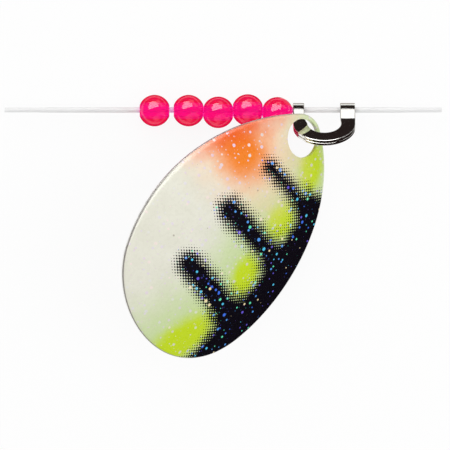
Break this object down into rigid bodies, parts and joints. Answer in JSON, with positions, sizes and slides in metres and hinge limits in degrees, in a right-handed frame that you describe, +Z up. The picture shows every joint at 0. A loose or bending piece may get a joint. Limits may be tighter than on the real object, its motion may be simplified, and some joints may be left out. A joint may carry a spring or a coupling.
{
  "type": "inline spinner",
  "caption": "Spinner rig section: a domed painted blade hung on a folded metal clevis, next to a row of round beads on a straight leader line.",
  "frame": {"origin": "middle of the footprint, on the table that the beads and the blade's rim rest on", "axes": "+X along the leader line, from the beads towards the clevis; +Z up from the table; +Y across the line, away from the blade"},
  "size_m": [0.0694, 0.0418, 0.0182],
  "materials": {
    "monofilament": "clear nylon monofilament",
    "bead": "translucent fluorescent pink-red, polished",
    "nickel": "bright nickel plate",
    "painted_blade": "gloss paint with glitter, bars over a pearl ground"
  },
  "bodies": {
    "leader": {"leader": "monofilament"},
    "bead_1": {"bead_1": "bead"},
    "bead_2": {"bead_2": "bead"},
    "bead_3": {"bead_3": "bead"},
    "bead_4": {"bead_4": "bead"},
    "bead_5": {"bead_5": "bead"},
    "clevis": {"clevis": "nickel"},
    "blade": {"blade": "painted_blade"}
  },
  "joints": [
    {"name": "clevis_spin", "type": "hinge", "parent": "leader", "child": "clevis", "pos_m": [0.016, 0.01834, 0.0025], "axis": [1, 0, 0], "continuous": true},
    {"name": "blade_swing", "type": "hinge", "parent": "clevis", "child": "blade", "pos_m": [0.016, 0.01584, 0.00606], "axis": [0, 0.8192, 0.5736], "range_deg": [-15, 90]},
    {"name": "bead_1_slide", "type": "slide", "parent": "leader", "child": "bead_1", "axis": [1, 0, 0], "range_m": [-0.016, 0.0007]},
    {"name": "bead_2_spin", "type": "hinge", "parent": "leader", "child": "bead_2", "pos_m": [-0.0055, 0.01824, 0.0025], "axis": [1, 0, 0], "continuous": true},
    {"name": "bead_3_spin", "type": "hinge", "parent": "leader", "child": "bead_3", "pos_m": [-0.0008, 0.01796, 0.0025], "axis": [1, 0, 0], "continuous": true},
    {"name": "bead_4_spin", "type": "hinge", "parent": "leader", "child": "bead_4", "pos_m": [0.0039, 0.01834, 0.0025], "axis": [1, 0, 0], "continuous": true},
    {"name": "bead_5_spin", "type": "hinge", "parent": "leader", "child": "bead_5", "pos_m": [0.0086, 0.01789, 0.0025], "axis": [1, 0, 0], "continuous": true}
  ]
}
